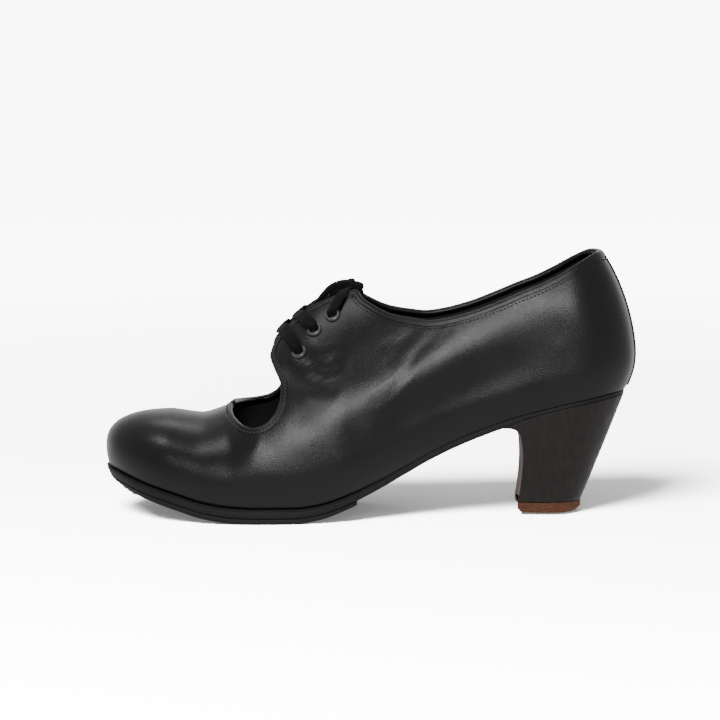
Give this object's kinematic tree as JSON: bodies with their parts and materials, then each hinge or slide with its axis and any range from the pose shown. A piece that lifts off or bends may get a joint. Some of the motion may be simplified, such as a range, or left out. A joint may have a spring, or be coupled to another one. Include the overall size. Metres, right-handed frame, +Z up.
{
  "type": "flamenco shoe",
  "caption": "Black leather heeled dance shoe with a rounded toe, a cut-out across the vamp, laced tabs, a low bound collar and a wooden heel.",
  "frame": {"origin": "on the floor, in the middle of the shoe's length and width", "axes": "+X from toe to heel, +Z up, -Y towards the outer side of the left foot"},
  "size_m": [0.24, 0.087, 0.1183],
  "materials": {
    "leather": "smooth black calf, soft gloss",
    "lining": "matt black lining",
    "outsole": "matt black edge and sole",
    "rubber": "matt black rubber",
    "wood": "dark stained wood, satin",
    "tip": "tan, matt",
    "nail": "bright nail heads",
    "eyelet": "black enamel",
    "lace": "flat black cotton"
  },
  "bodies": {
    "root": {"eyelet_lateral_1": "eyelet", "eyelet_lateral_2": "eyelet", "eyelet_lateral_3": "eyelet", "eyelet_medial_1": "eyelet", "eyelet_medial_2": "eyelet", "eyelet_medial_3": "eyelet", "half_sole": "rubber", "heel": "wood", "heel_nail_01": "nail", "heel_nail_02": "nail", "heel_nail_03": "nail", "heel_nail_04": "nail", "heel_nail_05": "nail", "heel_nail_06": "nail", "heel_nail_07": "nail", "heel_nail_08": "nail", "heel_nail_09": "nail", "heel_nail_10": "nail", "heel_nail_11": "nail", "heel_nail_12": "nail", "heel_nail_13": "nail", "heel_nail_14": "nail", "heel_nail_15": "nail", "heel_nail_16": "nail", "heel_nail_17": "nail", "heel_tip": "tip", "insole": "lining", "lace_bar_1": "lace", "lace_bar_2": "lace", "lace_knot": "lace", "lace_top_lateral": "lace", "lace_top_medial": "lace", "outsole": "outsole", "toe_nail_01": "nail", "toe_nail_02": "nail", "toe_nail_03": "nail", "toe_nail_04": "nail", "toe_nail_05": "nail", "toe_nail_06": "nail", "toe_nail_07": "nail", "toe_nail_08": "nail", "toe_nail_09": "nail", "toe_nail_10": "nail", "upper": "leather"}
  },
  "joints": []
}
